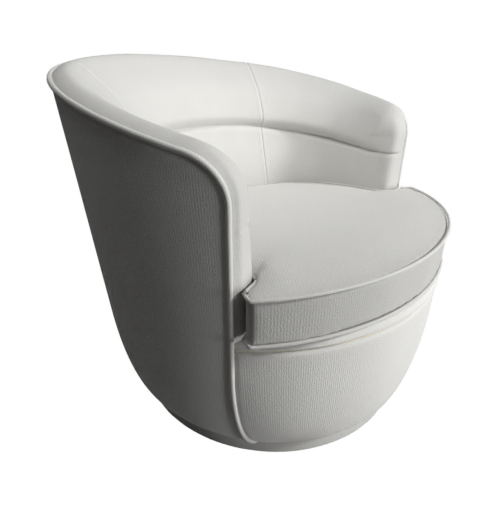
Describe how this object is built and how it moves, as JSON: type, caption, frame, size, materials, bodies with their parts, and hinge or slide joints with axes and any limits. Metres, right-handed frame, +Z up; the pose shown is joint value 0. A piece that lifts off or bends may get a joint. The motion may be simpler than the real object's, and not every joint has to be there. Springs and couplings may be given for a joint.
{
  "type": "swivel barrel chair",
  "caption": "Upholstered barrel lounge chair with a wrap-round padded back and arms, a loose T-shaped seat cushion and a covered swivel plinth.",
  "frame": {"origin": "the middle of the whole chair's length and width, at floor level; the swivel axis stands 25.55 mm in front of it, at y = -0.02555 m", "axes": "+Z up along the swivel axis, -Y towards the front of the seat, +X towards the sitter's left arm"},
  "size_m": [0.817, 0.7864, 0.7249],
  "materials": {
    "upholstery": "pale warm grey woven chenille",
    "lining": "plain grey deck cloth",
    "dust_cloth": "black non-woven cloth",
    "wadding": "white polyester wadding",
    "foam": "upholstery foam",
    "plywood": "raw birch plywood",
    "fibreboard": "raw bent fibreboard",
    "plate_steel": "black powder coat",
    "zinc_steel": "zinc plated",
    "bearing_steel": "bright steel",
    "glide_plastic": "black nylon",
    "zip_nylon": "grey nylon coil on woven tape"
  },
  "bodies": {
    "base": {"floor_glides": "glide_plastic", "plinth_ring": "plywood", "plinth_top_board": "plywood", "plinth_cover": "upholstery", "lower_swivel_plate": "plate_steel", "lower_plate_screws": "zinc_steel", "swivel_rivet": "zinc_steel"},
    "bearing": {"bearing_balls": "bearing_steel", "ball_cage": "zinc_steel"},
    "chair": {"upper_swivel_plate": "plate_steel", "upper_plate_bolts": "zinc_steel", "upper_plate_nuts": "zinc_steel", "bottom_board": "plywood", "hem_hoop": "plywood", "top_rail": "plywood", "arm_post_left": "plywood", "arm_post_right": "plywood", "back_post_centre": "plywood", "back_post_left": "plywood", "back_post_right": "plywood", "side_post_left": "plywood", "side_post_right": "plywood", "front_rib_centre": "plywood", "front_rib_left": "plywood", "front_rib_right": "plywood", "front_rail": "plywood", "seat_hoop": "plywood", "seat_springs": "bearing_steel", "spring_clips": "zinc_steel", "deck_pad": "foam", "deck_cover": "lining", "dust_cover": "dust_cloth", "outer_panel": "fibreboard", "outer_wadding": "wadding", "outer_cover": "upholstery", "front_pad": "foam", "front_cover": "upholstery", "front_band": "upholstery", "inner_pad": "foam", "inner_cover": "upholstery", "roll_pad": "foam", "top_rail_pad": "foam", "roll_cover": "upholstery", "rim_welt": "upholstery"},
    "seat_cushion": {"cushion_core": "foam", "cushion_top_panel": "upholstery", "cushion_bottom_panel": "upholstery", "cushion_boxing": "upholstery", "cushion_zip_panel": "upholstery", "cushion_zip": "zip_nylon", "cushion_top_welt": "upholstery", "cushion_bottom_welt": "upholstery"}
  },
  "joints": [
    {"name": "swivel", "type": "hinge", "parent": "base", "child": "chair", "pos_m": [0, -0.02555, 0.05], "axis": [0, 0, 1], "continuous": true},
    {"name": "ball_cage_turn", "type": "hinge", "parent": "base", "child": "bearing", "pos_m": [0, -0.02555, 0.05], "axis": [0, 0, 1], "continuous": true},
    {"name": "cushion_pull_out", "type": "slide", "parent": "chair", "child": "seat_cushion", "axis": [0, -0.9988, 0.0499], "range_m": [0, 0.38]}
  ],
  "couplings": [
    {"joint": "ball_cage_turn", "follows": "swivel", "ratio": 0.5}
  ]
}
